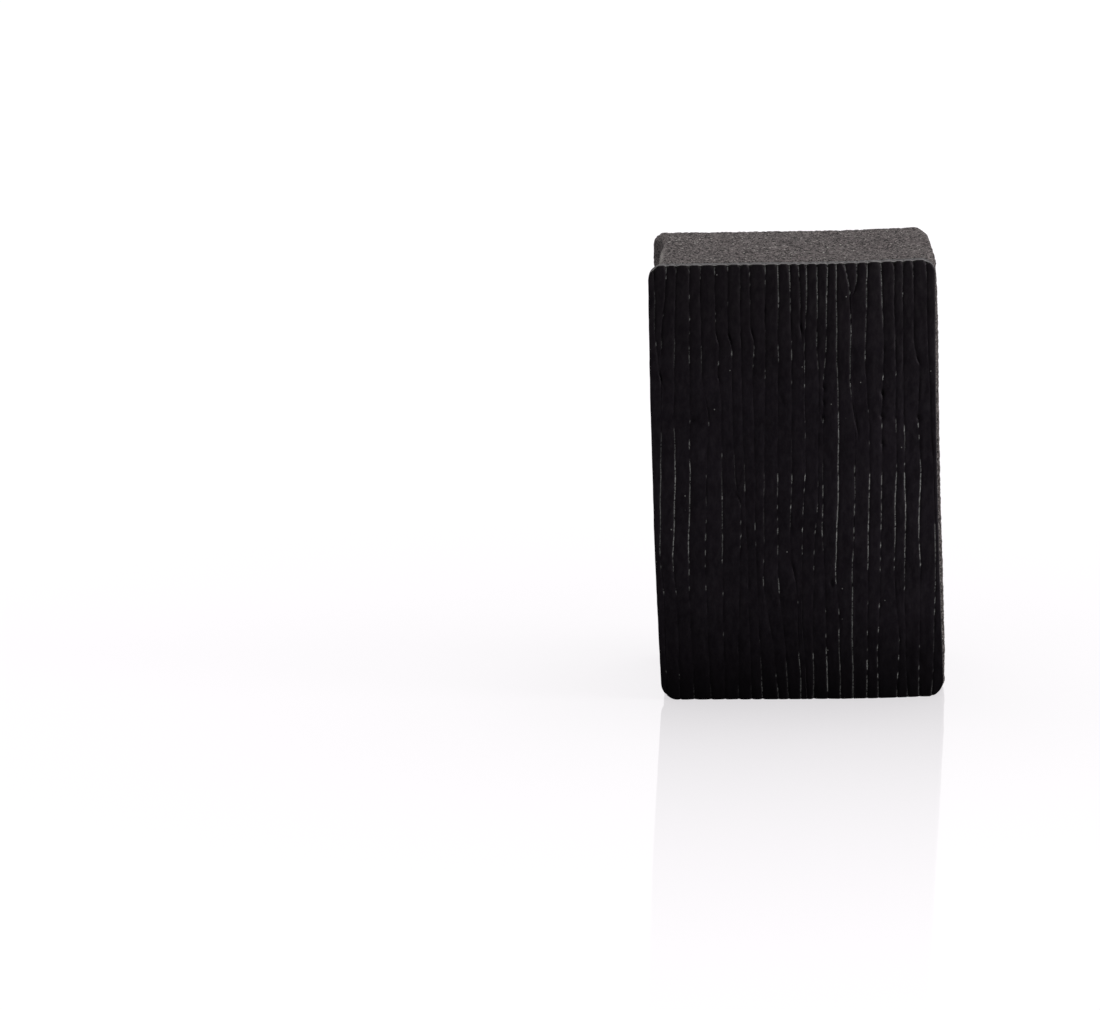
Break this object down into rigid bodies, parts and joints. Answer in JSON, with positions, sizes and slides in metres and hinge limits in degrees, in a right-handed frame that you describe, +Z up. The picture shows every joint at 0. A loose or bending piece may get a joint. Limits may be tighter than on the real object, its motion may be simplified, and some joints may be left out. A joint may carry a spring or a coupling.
{
  "type": "clay block",
  "caption": "Hand-held clay block for cleaning car paint: a waisted foam grip with a layer of creased black polymer rubber bonded over its whole front.",
  "frame": {"origin": "middle of the short end that the block stands on", "axes": "+Z up the block's long side, -Y out of the clay working face, +Y out of the foam's back, +X across the block"},
  "size_m": [0.06, 0.04, 0.0935],
  "materials": {
    "clay_rubber": "satin",
    "adhesive": "satin",
    "grip_foam": "matte"
  },
  "bodies": {
    "root": {"clay_face": "clay_rubber", "bond_layer": "adhesive", "foam_block": "grip_foam"}
  },
  "joints": []
}
